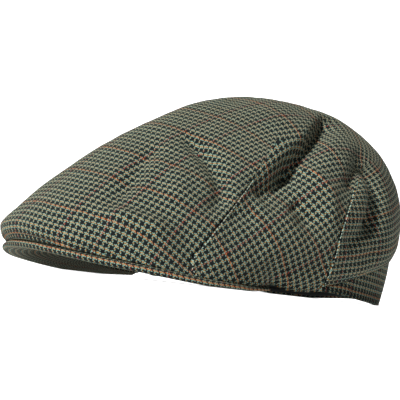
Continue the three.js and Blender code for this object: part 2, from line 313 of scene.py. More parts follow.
def made_mesh(name, points, faces, corner_uv, material):
    """Smooth cloth object from points in millimetres, with its own cloth coordinates."""
    mesh = bpy.data.meshes.new(name)
    mesh.from_pydata((np.asarray(points) * mm).tolist(), [], faces)
    cloth = mesh.uv_layers.new(name="cloth")
    cloth.data.foreach_set("uv", np.asarray(corner_uv, np.float32).ravel())
    mesh.materials.append(material)
    mesh.shade_smooth()
    mesh.validate()
    made = bpy.data.objects.new(name, mesh)
    bpy.context.scene.collection.objects.link(made)
    return made


def linear(hex_colour):
    """sRGB hex colour as linear RGBA."""
    rgb = np.array([int(hex_colour[i:i + 2], 16) / 255 for i in (1, 3, 5)])
    rgb = np.where(rgb <= 0.04045, rgb / 12.92, ((rgb + 0.055) / 1.055) ** 2.4)
    return (*rgb.tolist(), 1.0)


def add(tree, kind, inputs=(), out=0, **settings):
    """Adds a node with its settings, values and links, and gives one of its outputs. Inputs are
    named, or numbered where names repeat: a MapRange has 0 the value, 1 and 2 its range, 3 and 4
    the new one. A Mix has 0 the share, then 2 and 3 its numbers or 6 and 7 its colours."""
    made = tree.nodes.new(kind if "Node" in kind else "ShaderNode" + kind)
    for key, value in settings.items():
        setattr(made, key, value)
    for key, value in (inputs.items() if isinstance(inputs, dict) else enumerate(inputs)):
        if isinstance(value, bpy.types.NodeSocket):
            tree.links.new(value, made.inputs[key])
        else:
            made.inputs[key].default_value = value
    return made.outputs[out] if made.outputs else made


# Wool houndstooth tweed: 2/2 twill of five dark and three light threads both ways, which gives
# the toothed check. Its light threads are sage with a tan one in the middle of each group, and
# pairs of red warps and orange wefts, worn faint in places, make a large check. Matt, with
# little fibre bloom. A tooth repeats every 3.7 mm across and 4 mm lengthwise, as measured,
# and the threads wander by a millimetre or so. Lengths here are cloth coordinates in mm.
sage, tan, dark_green, fibre_bloom = "#6f8d80", "#956020", "#0b1112", "#b9bc9a"
tooth_threads, dark_threads, tan_thread, twill_threads = 8.0, 5, 6.0, 4.0
thread_reach = 0.6  # in threads: a number between two threads picks both, a whole one picks one
wander_scale, wander, worn_scale, fibre_scale = 0.09, 1.1, 0.21, 2.6
yarns = {  # thread spacing, threads in a large check, its accent pairs and their colour
    "warp": (0.457, 120.0, (70.5, 118.5), "#7c352a"),
    "weft": (0.5, 112.0, (70.5, 6.5), "#97552a")}

tweed = bpy.data.materials.new("wool houndstooth tweed")
tweed.use_nodes = True
t = tweed.node_tree
t.nodes.clear()
place = add(t, "UVMap", uv_map="cloth")
drift = add(t, "TexNoise", {
    "Vector": place, "Scale": wander_scale, "Detail": 3.0, "Roughness": 0.6}, out=1)
drift = add(t, "VectorMath", (drift, (0.5, 0.5, 0.5)), operation="SUBTRACT")
drift = add(t, "VectorMath", {0: drift, "Scale": wander}, operation="SCALE")
place = add(t, "VectorMath", (place, drift), operation="ADD")
spacing = (1 / yarns["warp"][0], 1 / yarns["weft"][0], 1.0)
threads = add(t, "VectorMath", (place, spacing), operation="MULTIPLY")
number = add(t, "VectorMath", (threads,), operation="FLOOR")
within = add(t, "VectorMath", (threads,), operation="FRACTION")
worn = add(t, "TexNoise", {
    "Vector": place, "Scale": worn_scale, "Detail": 3.0, "Roughness": 0.7})
worn = add(t, "MapRange", {0: worn, 1: 0.36, 2: 0.58, 3: 0.35, 4: 1.0})
ways = {}
for axis, way in enumerate(("warp", "weft")):
    _, check_threads, accents, accent_colour = yarns[way]
    index = add(t, "SeparateXYZ", (number,), out=axis)
    inside = add(t, "SeparateXYZ", (within,), out=axis)
    in_tooth = add(t, "Math", (index, tooth_threads), operation="FLOORED_MODULO")
    in_check = add(t, "Math", (index, check_threads), operation="FLOORED_MODULO")
    dark = add(t, "Math", (in_tooth, dark_threads - 0.5), operation="LESS_THAN")
    middle = add(t, "Math", (in_tooth, tan_thread, thread_reach), operation="COMPARE")
    accent, second = (add(t, "Math", (in_check, pair, thread_reach), operation="COMPARE")
                      for pair in accents)
    accent = add(t, "Math", (accent, second), operation="MAXIMUM")
    accent = add(t, "Math", (accent, worn), operation="MULTIPLY")
    shade = add(t, "TexWhiteNoise", {"W": index}, noise_dimensions="1D")
    light = add(t, "Mix", {0: middle, 6: linear(sage), 7: linear(tan)}, out=2, data_type="RGBA")
    yarn = add(t, "Mix", {0: dark, 6: light, 7: linear(dark_green)}, out=2, data_type="RGBA")
    yarn = add(t, "Mix", {0: accent, 6: yarn, 7: linear(accent_colour)}, out=2, data_type="RGBA")
    shade = add(t, "MapRange", {0: shade, 3: 0.85, 4: 1.12})
    yarn = add(t, "VectorMath", {0: yarn, "Scale": shade}, operation="SCALE")
    curve = add(t, "Math", (inside, 0.5), operation="SUBTRACT")
    curve = add(t, "Math", (curve, curve), operation="MULTIPLY")
    curve = add(t, "Math", (curve, -3.4, 1.0), operation="MULTIPLY_ADD")
    ways[way] = index, yarn, curve
step = add(t, "Math", (ways["warp"][0], ways["weft"][0]), operation="ADD")
step = add(t, "Math", (step, twill_threads), operation="FLOORED_MODULO")
warp_up = add(t, "Math", (step, twill_threads / 2 - 0.5), operation="LESS_THAN")
colour = add(t, "Mix", {0: warp_up, 6: ways["weft"][1], 7: ways["warp"][1]},
             out=2, data_type="RGBA")
ridge = add(t, "Mix", {0: warp_up, 2: ways["weft"][2], 3: ways["warp"][2]})
fibre = add(t, "TexNoise", {
    "Vector": place, "Scale": fibre_scale, "Detail": 3.0, "Roughness": 0.7})
# Painted shade between the threads: the colour darkens where each thread curves down at its sides,
# and the fibre noise varies it at random.
depth = add(t, "MapRange", {0: ridge, 1: 0.1, 2: 1.0, 3: 0.62, 4: 1.08})
mottle = add(t, "MapRange", {0: fibre, 1: 0.25, 2: 0.75, 3: 0.72, 4: 1.28})
depth = add(t, "Math", (depth, mottle), operation="MULTIPLY")
colour = add(t, "VectorMath", {0: colour, "Scale": depth}, operation="SCALE")
relief = add(t, "Math", (fibre, 0.8, ridge), operation="MULTIPLY_ADD")
bump = add(t, "Bump", {"Height": relief, "Strength": 0.55, "Distance": 0.12 * mm})
surface = add(t, "BsdfPrincipled", {
    "Base Color": colour, "Normal": bump, "Roughness": 0.95, "Specular IOR Level": 0.18,
    "Sheen Weight": 0.06, "Sheen Roughness": 0.5, "Sheen Tint": linear(fibre_bloom)})
add(t, "OutputMaterial", (surface,))


def cloth_grain(deg, column, up):
    """Direction of the lengthwise threads against the way round the crown, in radians. They run
    front to back on the top and the front panel, slant between the darts and hang behind them."""
    front_turn, top_turn, between_darts, behind_darts = 10, 6, 31, -93
    turn = (deg + 180) % 360 - 180
    a = np.abs(turn)
    front = 90 - a + front_turn * smooth(a, 3, 15) * (1 - 0.6 * smooth(a, 40, 58))
    top = 90 - a + top_turn * smooth(a, 3, 20)
    side = front_angle(column)
    behind = np.where(side < darts[1][0], between_darts, behind_darts)
    low = np.where(side < darts[0][0], front, behind)
    share = smooth(up, 0.42, 0.68)
    grain = np.angle((1 - share) * np.exp(1j * np.radians(low))
                     + share * np.exp(1j * np.radians(top)))
    return np.where(turn < 0, np.pi - grain, grain)


def cloth_lattice(ups, columns):
    """Flat cloth coordinates of the crown, in millimetres from the top, for the four corners of
    each cell of a coarse lattice cut open along the darts. Each cell keeps its size and turns
    towards its grain, and the cells are joined by least squares."""
    rounds, grain_pull, first_steps, later_steps = 15, 0.6, 700, 120
    hair, smallest, shortest_span = 1e-6, 1e-12, 0.05
    rows, n = len(ups), len(columns)
    degs, heights = leaned(columns, ups), np.repeat(ups[:, None], n, 1)
    form = crown_form(degs, heights)
    form = form + crown_out(degs, heights) * fold_height(form)[..., None]
    cuts = {int(np.argmin(np.abs(columns - place))): tip
            for deg, _, tip, _ in darts for place in (deg, 360 - deg)}
    number, count = np.zeros((rows, n, 2), int), 0
    for r in range(rows):
        for c in range(n):
            number[r, c] = count
            count += 1
            if c in cuts and ups[r] < cuts[c] - hair:
                number[r, c, 1] = count
                count += 1
    here, right = np.arange(n), (np.arange(n) + 1) % n
    corner = [np.stack((number[r, here, 1], number[r, right, 0], number[r + 1, right, 0],
                        number[r + 1, here, 1]), -1) for r in range(rows - 1)]
    spot = [np.stack((form[r], form[r][right], form[r + 1][right], form[r + 1]), 1)
            for r in range(rows - 1)]
    top, apex = np.repeat(crown_top[None], n, 0), np.full(n, count)
    corner.append(np.stack((number[-1, here, 1], number[-1, right, 0], apex, apex), -1))
    spot.append(np.stack((form[-1], form[-1][right], top, top), 1))
    corner, spot = np.concatenate(corner), np.concatenate(spot)
    way = spot[:, 1] - spot[:, 0] + spot[:, 2] - spot[:, 3]
    way /= np.linalg.norm(way, axis=1, keepdims=True)
    normal = np.cross(way, spot[:, 3] - spot[:, 0] + spot[:, 2] - spot[:, 1])
    normal /= np.linalg.norm(normal, axis=1, keepdims=True)
    spot = spot - spot.mean(1, keepdims=True)
    flat = np.stack(((spot * way[:, None]).sum(-1),
                     (spot * np.cross(normal, way)[:, None]).sum(-1)), -1)
    a, b = flat[:, 2] - flat[:, 0], flat[:, 3] - flat[:, 1]
    area = 0.5 * np.abs(a[:, 0] * b[:, 1] - a[:, 1] * b[:, 0])
    joins, held = [], np.zeros(count + 1)
    held[count] = 1
    for i, j in ((0, 1), (1, 2), (2, 3), (3, 0), (0, 2), (1, 3)):
        span = ((flat[:, i] - flat[:, j]) ** 2).sum(-1)
        weight = np.where(span > smallest, area / np.maximum(span, shortest_span), 0)
        joins.append((i, j, weight))

    def gathered(values_of):
        """Sum over the joins, at each lattice point, of what a join carries."""
        total = np.zeros((count + 1, 2))
        for i, j, weight in joins:
            d = values_of(i, j) * weight[:, None]
            for k in (0, 1):
                total[:, k] += np.bincount(corner[:, i], d[:, k], count + 1)
                total[:, k] -= np.bincount(corner[:, j], d[:, k], count + 1)
        return total

    next_degs = np.append(degs[:, 1:], np.full((rows, 1), 360.0), 1)
    next_columns = np.append(columns[1:], 360.0)
    goal = cloth_grain(((degs + next_degs) / 2).ravel(),
                       np.tile((columns + next_columns) / 2, rows),
                       np.repeat((ups + np.append(ups[1:], 1)) / 2, n))
    turn, uv = goal.copy(), np.zeros((count + 1, 2))
    for k in range(rounds + 1):
        c, s = np.cos(turn)[:, None], np.sin(turn)[:, None]
        laid = np.stack((flat[..., 0] * s - flat[..., 1] * c,
                         flat[..., 0] * c + flat[..., 1] * s), -1)
        left = (gathered(lambda i, j: laid[:, i] - laid[:, j])
                - gathered(lambda i, j: uv[corner[:, i]] - uv[corner[:, j]]) - held[:, None] * uv)
        step, size = left.copy(), (left ** 2).sum(0)
        for _ in range(first_steps if k == 0 else later_steps):  # conjugate gradients
            pushed = (gathered(lambda i, j: step[corner[:, i]] - step[corner[:, j]])
                      + held[:, None] * step)
            share = size / np.maximum((step * pushed).sum(0), smallest)
            uv = uv + share * step
            left = left - share * pushed
            before, size = size, (left ** 2).sum(0)
            step = left + size / np.maximum(before, smallest) * step
        x = uv[corner]
        x = x - x.mean(1, keepdims=True)
        own = np.arctan2((x * flat).sum((1, 2)),
                         (x[..., 1] * flat[..., 0] - x[..., 0] * flat[..., 1]).sum(1))
        turn = np.angle(grain_pull * np.exp(1j * goal) + (1 - grain_pull) * np.exp(1j * own))
    cells = uv[corner].reshape(rows, n, 4, 2)
    cells[..., 0] -= cells[:, 0, 0, 0].mean()
    return cells


def cloth_place(columns, ups, nudge):
    """Cloth coordinates at columns and heights, read from the lattice cell that the nudge, a
    hair to one side of each column, is in."""
    edges = np.append(lattice_columns, 360.0)
    rows = np.append(lattice_ups, 1.0)
    c = np.clip(np.searchsorted(edges, columns + nudge, "right") - 1, 0, len(edges) - 2)
    r = np.clip(np.searchsorted(rows, ups, "right") - 1, 0, len(rows) - 2)
    s = ((columns - edges[c]) / (edges[c + 1] - edges[c]))[None, :, None]
    q = ((ups - rows[r]) / (rows[r + 1] - rows[r]))[:, None, None]
    cell = crown_cells[r][:, c]
    return ((1 - s) * (1 - q) * cell[:, :, 0] + s * (1 - q) * cell[:, :, 1]
            + s * q * cell[:, :, 2] + (1 - s) * q * cell[:, :, 3])


def all_columns(step, beside, clear):
    """Columns round the whole crown: even ones, and closer ones beside and on each dart."""
    half = {0.0, 180.0}
    half.update(float(deg + side * d) for deg, *_ in darts for d in beside for side in (-1, 1))
    half.update(float(d) for d in np.arange(0, 180, step)
                if all(abs(d - deg) > clear for deg, *_ in darts))
    half = sorted(half)
    return np.array(half + [360 - d for d in half[-2:0:-1]])


lattice_columns = all_columns(step=3.75, beside=(0, 1.2), clear=2.4)
lattice_ups = np.concatenate((np.linspace(0, wide_up, 8)[:-1], np.linspace(wide_up, 0.95, 29)))
crown_cells = cloth_lattice(lattice_ups, lattice_columns)
columns = all_columns(step=1, beside=(0, 0.15, 0.3, 0.45, 0.65, 0.9, 1.2, 1.6, 2.1), clear=2.5)
outer_ups = np.concatenate((np.linspace(0, wide_up, 31)[:-1], np.linspace(wide_up, 0.985, 99)))
inner_ups = np.concatenate(([0, 0.02, 0.05, 0.09], np.linspace(0.13, 0.97, 30)))
swells = ((0.7, 26, 1), (0.28, 9, 2))  # soft unevenness: height, size and seed
swell_from, swell_full_at = 0.01, 0.08  # height shares above the edge
deepest_relief = 0.8 * cloth_thickness
hem_drop, rim_hem_drop = 0.25, 0.7  # how far the hem's turn hangs, and how much more on the rim
rim_hem_start, rim_hem_end = (70, 80), (90, 94)


def crown_skin(ups, inset):
    """The outer face of the crown, or its plain inner face at an inset from it."""
    degs = leaned(columns, ups)
    heights = np.repeat(ups[:, None], len(columns), 1)
    form, out = crown_form(degs, heights), crown_out(degs, heights)
    lift = fold_height(form) - inset
    if inset:
        skin = form + out * lift[..., None]
        skin[0] = crown_edge(degs[0], -inset)
        return skin
    swell = sum(height * rippled(form, size, seed) for height, size, seed in swells)
    relief = seam_relief(columns, ups, form) + smooth(heights, swell_from, swell_full_at) * swell
    lift += np.maximum(relief, -deepest_relief)
    return form + out * lift[..., None]


outer_skin, inner_skin = crown_skin(outer_ups, 0), crown_skin(inner_ups, cloth_thickness)
n = len(columns)
# The hem turns round below both faces, a little lower between the peak's end and the back band
middle = (outer_skin[0] + inner_skin[0]) / 2
reach = outer_skin[0] - middle
on_rim = (smooth(front_angle(columns), *rim_hem_start)
          * (1 - smooth(front_angle(columns), *rim_hem_end)))
drop = np.stack((0 * on_rim, 0 * on_rim, -(hem_drop + rim_hem_drop * on_rim)), -1)
edge_turn = [middle + reach * np.cos(a) + drop * np.sin(a) for a in np.radians((45, 90, 135))]
rows = [*outer_skin[::-1], *edge_turn, *inner_skin]
row_ups = np.array([*outer_ups[::-1], *(0 for _ in edge_turn), *inner_ups])
top_fold = fold_height(crown_top)
points = np.concatenate((*rows, [crown_top + (0, 0, top_fold)],
                         [crown_top + (0, 0, top_fold - cloth_thickness)]))
wall = len(rows)
faces = [(r * n + c, (r + 1) * n + c, (r + 1) * n + (c + 1) % n, r * n + (c + 1) % n)
         for r in range(wall - 1) for c in range(n)]
faces += [(wall * n, c, (c + 1) % n) for c in range(n)]
faces += [(wall * n + 1, (wall - 1) * n + (c + 1) % n, (wall - 1) * n + c) for c in range(n)]
nudge = 1e-7
sides = ((columns, nudge), (np.append(columns[1:], 360.0), -nudge))
(here_upper, here_lower), (next_upper, next_lower) = (
    [cloth_place(across, ups, shift) for ups in (row_ups[:-1], row_ups[1:])]
    for across, shift in sides)
crown_uv = np.stack((here_upper, here_lower, next_lower, next_upper), 2).reshape(-1, 2)
outer_top, inner_top = ([cloth_place(across, np.array([up]), shift)[0] for across, shift in sides]
                        for up in (outer_ups[-1], inner_ups[-1]))
apex = np.repeat(crown_cells[-1][:, 2].mean(0)[None], n, 0)
crown_uv = np.concatenate((crown_uv, np.stack((apex, *outer_top), 1).reshape(-1, 2),
                           np.stack((apex, *inner_top[::-1]), 1).reshape(-1, 2)))
crown = made_mesh("crown_tweed", points, faces, crown_uv, tweed)
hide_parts("crown")
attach(crown, "root")

# PEAK
# A stiff curved board covered with the same tweed. Four millimetres of it show in front of the
# crown, the cloth turns round its edge and covers the underside, the grain bends with the edge.

peak_columns, flat_places, turn_places = 181, 11, 9
edge_place = flat_places + turn_places // 2  # the middle of the rounded front edge
least_reach, edge_roundness = 3.0, 0.6
edge_weft, grain_slant, back_join = 1.6, 0.012, 4.2  # cloth coordinates of the edge and the back


def lofted(name, sections, uv, material):
    """Closed piece from equal closed sections, with flat ends."""
    count, n = sections.shape[:2]
    faces, corners = [], []
    for i in range(count - 1):
        for j in range(n):
            k = (j + 1) % n
            faces.append((i * n + j, i * n + k, (i + 1) * n + k, (i + 1) * n + j))
            corners.append((uv[i, j], uv[i, j + 1], uv[i + 1, j + 1], uv[i + 1, j]))
    for i, order in ((0, 1), (count - 1, -1)):
        for j in range((n - 1) // 2):  # the last one is a triangle where n is odd
            ends = list(dict.fromkeys((j, n - 1 - j, n - 2 - j, j + 1)))[::order]
            faces.append([i * n + k for k in ends])
            corners.append([uv[i, k] for k in ends])
    flat = sections.reshape(-1, 3)
    volume = 0.0
    for face in faces:
        first, second, third, last = (flat[face[k]] for k in (0, 1, 2, -1))
        volume += first @ (np.cross(second, third) + np.cross(third, last))
    if volume < 0:
        faces, corners = ([row[::-1] for row in rows] for rows in (faces, corners))
    return made_mesh(name, flat, faces, [corner for row in corners for corner in row], material)


peak_sections = []
for deg in np.linspace(-peak_end_deg, peak_end_deg, peak_columns):
    reach_mm, thick = max(float(peak_reach(deg)), least_reach), float(peak_thick(deg))
    turn_mm = min(thick * edge_roundness, reach_mm / 2)
    flat_to = reach_mm - turn_mm
    outs = -cloth_thickness + (flat_to + cloth_thickness) * np.linspace(0, 1, flat_places)
    under = beside_rim(deg, outs, peak_under(deg, outs))
    over = under + (0, 0, thick)
    angles = np.radians(np.linspace(-90, 90, turn_places + 2)[1:-1])
    turn = beside_rim(deg, flat_to + turn_mm * np.cos(angles),
                      float(peak_under(deg, flat_to)) + thick / 2 * (1 + np.sin(angles)))
    peak_sections.append(np.concatenate((under, turn, over[::-1])))
peak_sections = np.array(peak_sections)
peak_run = run_of(peak_sections[:, edge_place])
peak_run -= peak_run[len(peak_run) // 2]
peak_uv = np.zeros((*peak_sections.shape[:2], 2))
for i, section in enumerate(peak_sections):
    from_back = run_of(section)
    peak_uv[i, :, 0] = peak_run[i]
    peak_uv[i, :, 1] = from_back - from_back[edge_place] + edge_weft + grain_slant * peak_run[i]
peak_uv = np.concatenate((peak_uv, peak_uv[:, -1:] + (0, back_join)), 1)
peak = lofted("peak_tweed", peak_sections, peak_uv, tweed)
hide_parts("peak")
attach(peak, "root")

# BACK BAND
# A crescent of the same tweed from ear to ear round the back, cut along the rim, with its
# lower edge turned in as a soft hem.

band_columns, band_places = 221, 15
band_straight, edge_squeeze = 0.4, 2.2  # share of its lean that is straight, flatter low edges
half_turn = np.radians((30, 60, 90, 120, 150))


def closed_run(section):
    """Length along a closed section, back to its start."""
    return run_of(np.concatenate((section, section[:1])))


band_sections = []
shares = np.linspace(0, 1, band_places)
for deg in np.linspace(band_start_deg, 360 - band_start_deg, band_columns):
    height, lean, low = float(band_height(deg)), float(band_lean(deg)), float(rim_z(deg))
    half_thick = min(cloth_thickness / 2, height / edge_squeeze)
    shape = lean * (band_straight * shares + (1 - band_straight) * np.sin(shares * np.pi / 2))
    rise = low + half_thick + (height - 2 * half_thick) * shares
    outer = beside_rim(deg, shape, rise)
    inner = beside_rim(deg, shape - cloth_thickness, rise)
    top_edge = beside_rim(deg, shape[-1] - cloth_thickness / 2 * (1 - np.cos(half_turn)),
                          rise[-1] + half_thick * np.sin(half_turn))
    hem = beside_rim(deg, -cloth_thickness / 2 * (1 + np.cos(half_turn)),
                     rise[0] - half_thick * np.sin(half_turn))
    band_sections.append(np.concatenate((outer, top_edge, inner[::-1], hem)))
band_sections = np.array(band_sections)
band_run = run_of(band_sections[:, 0])
band_uv = np.array([np.stack((0 * around_it + run - band_run[-1] / 2, around_it), -1)
                    for run, around_it in zip(band_run, map(closed_run, band_sections))])
back_band = lofted("back_band_tweed", band_sections, band_uv, tweed)
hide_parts("back_band")
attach(back_band, "root")

# SWEATBAND
# Charcoal green cotton twill round the front and sides of the head opening, sewn along its
# lower edge, its free upper edge a little loose.

sweat_thickness, sweat_height, sweat_lift, sweat_lean = 1.2, 34.0, 1.5, 1.5
sweat_columns, sweat_places = 260, 18
edge_share = 0.012  # height share where each edge starts to round
edge_past = np.array((0.0006, 0.00204, 0.0006))  # how far the rounded edge goes past 0 and 1
edge_depth = np.array((0.9, 0.5, 0.1))  # and where that is in the thickness
looseness, loose_waves = 0.5, 9
stretch_start_deg = 97.0
gap_deg = float(np.degrees(seam_gap / rim_half_width))

# Cotton twill: matt, with slanting ribs. They are drawn at 0.9 mm, twice as coarse as real ones,
# and the cross threads at 0.45 mm, so that they show
rib_pitch, cross_pitch, rib_slant = 0.9, 0.45, 0.75
twill_dark, twill_light = "#161b1a", "#3b4541"
twill = bpy.data.materials.new("cotton twill sweatband")
twill.use_nodes = True
t = twill.node_tree
t.nodes.clear()
place = add(t, "UVMap", uv_map="cloth")
along, up = (add(t, "SeparateXYZ", (place,), out=k) for k in (0, 1))
slope = add(t, "Math", (up, rib_slant, along), operation="MULTIPLY_ADD")
rib = add(t, "Math", (slope, 2 * np.pi / rib_pitch), operation="MULTIPLY")
rib = add(t, "Math", (rib,), operation="SINE")
weave = add(t, "Math", (up, 2 * np.pi / cross_pitch), operation="MULTIPLY")
weave = add(t, "Math", (weave,), operation="SINE")
rib = add(t, "Math", (weave, 0.3, rib), operation="MULTIPLY_ADD")
cotton = add(t, "TexNoise", {"Vector": place, "Scale": 1.4, "Detail": 3.0})
wash = add(t, "TexNoise", {"Vector": place, "Scale": 0.05, "Detail": 2.0})
# Painted shade along the ribs: the colour is darker in their grooves and lighter on their crests,
# by the same wave as the bump, and the cotton noise varies it at random.
tone = add(t, "MapRange", {0: rib, 1: -1.3, 2: 1.3, 3: 0.15, 4: 0.85})
tone = add(t, "Math", (cotton, 0.5, tone), operation="MULTIPLY_ADD")
colour = add(t, "Mix", {0: tone, 6: linear(twill_dark), 7: linear(twill_light)},
             out=2, data_type="RGBA")
wash = add(t, "MapRange", {0: wash, 1: 0.3, 2: 0.7, 3: 0.85, 4: 1.15})
colour = add(t, "VectorMath", {0: colour, "Scale": wash}, operation="SCALE")
bump = add(t, "Bump", {"Height": rib, "Strength": 0.6, "Distance": 0.12 * mm})
surface = add(t, "BsdfPrincipled", {
    "Base Color": colour, "Normal": bump, "Roughness": 0.9, "Specular IOR Level": 0.2,
    "Sheen Weight": 0.08, "Sheen Roughness": 0.5})
add(t, "OutputMaterial", (surface,))


def sweat_wall(deg, share, out):
    """A place on the sweatband: its height share, and its distance in from the outer face."""
    return beside_rim(deg, -(cloth_thickness + seam_gap) - out + sweat_lean * share,
                      rim_z(deg) + sweat_lift + sweat_height * share)


def sweat_piece(name, start, end, count, material, waves):
    """A stretch of the band inside the rim, with rounded edges and its own looseness."""
    shares = np.linspace(edge_share, 1 - edge_share, sweat_places)
    sections = []
    for deg in np.linspace(start, end, count):
        wave = waves(deg, shares)
        ins = sweat_wall(deg, shares, sweat_thickness + wave)
        outs = sweat_wall(deg, shares, wave)
        low = sweat_wall(deg, -edge_past, edge_depth * sweat_thickness + wave[0])
        high = sweat_wall(deg, 1 + edge_past, edge_depth[::-1] * sweat_thickness + wave[-1])
        sections.append(np.concatenate((outs, high, ins[::-1], low)))
    sections = np.array(sections)
    inner_middle = sweat_places + len(edge_past) + sweat_places // 2
    run = run_of(sections[:, inner_middle])
    uv = np.array([np.stack((0 * up + across, up), -1)
                   for across, up in zip(run, map(closed_run, sections))])
    return lofted(name, sections, uv, material)


def sweat_waves(deg, shares):
    """Slight looseness of the free upper edge."""
    return looseness * shares * np.sin(np.radians(deg * loose_waves)) ** 2


sweatband = sweat_piece("sweatband_twill", -stretch_start_deg, stretch_start_deg, sweat_columns,
                        twill, sweat_waves)
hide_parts("sweatband")
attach(sweatband, "root")

# STRETCH BAND
# Smooth dark tape round the back, lightly gathered over the elastic behind it and sewn to the
# ends of the sweatband.

stretch_columns = 420
gather_depth, gather_pitch_deg = 0.35, 4

# Satin: long smooth threads that give it a soft gloss. Its cords are drawn at 1.2 mm
cord_pitch, satin_dark, satin_light = 1.2, "#0f1212", "#2b3130"
satin = bpy.data.materials.new("satin stretch tape")
satin.use_nodes = True
t = satin.node_tree
t.nodes.clear()
place = add(t, "UVMap", uv_map="cloth")
up = add(t, "SeparateXYZ", (place,), out=1)
cord = add(t, "Math", (up, 2 * np.pi / cord_pitch), operation="MULTIPLY")
cord = add(t, "Math", (cord,), operation="SINE")
thread = add(t, "Mapping", {"Vector": place, "Scale": (0.25, 2.4, 1.0)})
thread = add(t, "TexNoise", {"Vector": thread, "Scale": 1.0, "Detail": 3.0})
# Painted shade: the colour is darker where the relief sinks, between the cords and along the lower
# streaks, and lighter where it rises. The streaks along the threads vary at random.
tone = add(t, "Math", (cord, 0.12, thread), operation="MULTIPLY_ADD")
colour = add(t, "Mix", {0: tone, 6: linear(satin_dark), 7: linear(satin_light)},
             out=2, data_type="RGBA")
bump = add(t, "Bump", {"Height": tone, "Strength": 0.5, "Distance": 0.15 * mm})
surface = add(t, "BsdfPrincipled", {
    "Base Color": colour, "Normal": bump, "Roughness": 0.42, "Specular IOR Level": 0.45,
    "Sheen Weight": 0.05})
add(t, "OutputMaterial", (surface,))


def stretch_waves(deg, shares):
    """Upright gathers, strongest in the middle of the height."""
    gather = 0.5 * (1 + np.sin(2 * np.pi * deg / gather_pitch_deg))
    return gather_depth * np.sin(shares * np.pi) * gather


stretch = sweat_piece("stretch_band_satin", stretch_start_deg + gap_deg,
                      360 - stretch_start_deg - gap_deg, stretch_columns, satin, stretch_waves)
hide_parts("stretch_band")
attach(stretch, "root")

# STITCHES AND PAINTED HIGHLIGHT DOTS
# Pale beads along the raised edge of each dart seam outside paint its highlight as pale dots. Dark
# lockstitches of sewing thread run inside along the lower edge of the sweatband, up its join and
# at the ends of the stretch band.

# Twisted thread: matt, with a painted highlight where noise makes it lighter, as where a ply comes
# up. The pale one paints the darts' highlight and the dark one is sewing thread. Both are drawn a
# little thicker than real thread, so that they show
ply_scale = 2500.0
thread_tone = {}
for name, dull, bright in (("pale wool sewing thread", "#98a493", "#c6cebd"),
                           ("dark cotton sewing thread", "#0b0e0e", "#232928")):
    thread = bpy.data.materials.new(name)
    thread.use_nodes = True
    t = thread.node_tree
    t.nodes.clear()
    place = add(t, "TexCoord", out=3)
    ply = add(t, "TexNoise", {"Vector": place, "Scale": ply_scale, "Detail": 2.0})
    colour = add(t, "Mix", {0: ply, 6: linear(dull), 7: linear(bright)}, out=2, data_type="RGBA")
    surface = add(t, "BsdfPrincipled", {
        "Base Color": colour, "Roughness": 0.8, "Specular IOR Level": 0.2})
    add(t, "OutputMaterial", (surface,))
    thread_tone[name.split()[0]] = thread

stitching = bpy.data.node_groups.new("thread beads along a path", "GeometryNodeTree")
for socket, kind in (("Path", "Geometry"), ("Stitch", "Float"), ("Pitch", "Float"),
                     ("Thickness", "Float"), ("Thread", "Material")):
    stitching.interface.new_socket(socket, in_out="INPUT", socket_type="NodeSocket" + kind)
stitching.interface.new_socket("Stitches", in_out="OUTPUT", socket_type="NodeSocketGeometry")
t = stitching
given = t.nodes.new("NodeGroupInput").outputs
line = add(t, "GeometryNodeMeshToCurve", {"Mesh": given["Path"]})
line = add(t, "GeometryNodeResampleCurve",
           {"Curve": line, "Length": given["Pitch"]}, mode="LENGTH")
turn = add(t, "FunctionNodeAlignRotationToVector",
           {"Vector": add(t, "GeometryNodeInputTangent")}, axis="Z")
bead = add(t, "GeometryNodeMeshUVSphere", {"Segments": 8, "Rings": 6, "Radius": 0.5})
size = add(t, "CombineXYZ", (given["Thickness"], given["Thickness"], given["Stitch"]))
laid = add(t, "GeometryNodeInstanceOnPoints",
           {"Points": line, "Instance": bead, "Rotation": turn, "Scale": size})
laid = add(t, "GeometryNodeRealizeInstances", {"Geometry": laid})
laid = add(t, "GeometryNodeSetShadeSmooth", {"Geometry": laid})
laid = add(t, "GeometryNodeSetMaterial", {"Geometry": laid, "Material": given["Thread"]})
t.links.new(laid, t.nodes.new("NodeGroupOutput").inputs[0])


def stitched(name, paths, stitch, pitch, thickness, thread, slot):
    """Beads of thread of the given length, spacing and thickness along the paths: stitches, and on
    the darts the pale dots of painted highlight.
    """
    spots, edges = [], []
    for path in paths:
        edges += [(len(spots) + i, len(spots) + i + 1) for i in range(len(path) - 1)]
        spots += (np.asarray(path) * mm).tolist()
    mesh = bpy.data.meshes.new(name)
    mesh.from_pydata(spots, edges, [])
    made = bpy.data.objects.new(name, mesh)
    bpy.context.scene.collection.objects.link(made)
    modifier = made.modifiers.new("stitches", "NODES")
    modifier.node_group = stitching
    values = {"Stitch": stitch * mm, "Pitch": pitch * mm, "Thickness": thickness * mm,
              "Thread": thread}
    for item in stitching.interface.items_tree:
        if item.name in values:
            modifier[item.identifier] = values[item.name]
    shown = made.evaluated_get(bpy.context.evaluated_depsgraph_get())
    plain = bpy.data.meshes.new_from_object(shown)
    made.modifiers.clear()
    made.data = plain
    bpy.data.meshes.remove(mesh)
    plain.name = name
    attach(made, "root")


# Pale beads just behind each dart seam, on its raised edge: painted highlight dots, not stitches.
behind_seam_deg, above_cloth = 0.45, 0.1
highlight_from, highlight_share = 0.015, 0.8  # height share of the first dot, share of the dart's length that the dots reach
dart_highlight_paths = []
for deg, _, tip, _ in darts:
    for side, place_deg in ((1, deg), (-1, 360 - deg)):
        j = int(np.argmin(np.abs(columns - (place_deg + side * behind_seam_deg))))
        highlight_rows = (outer_ups > highlight_from) & (outer_ups < tip * highlight_share)
        out = crown_out(leaned(columns, outer_ups)[highlight_rows, j], outer_ups[highlight_rows])
        dart_highlight_paths.append(outer_skin[highlight_rows, j] + above_cloth * out)
stitched("dart_painted_highlight_dots", dart_highlight_paths, stitch=1.0, pitch=2.4, thickness=0.46,
         thread=thread_tone["pale"], slot="tweed")

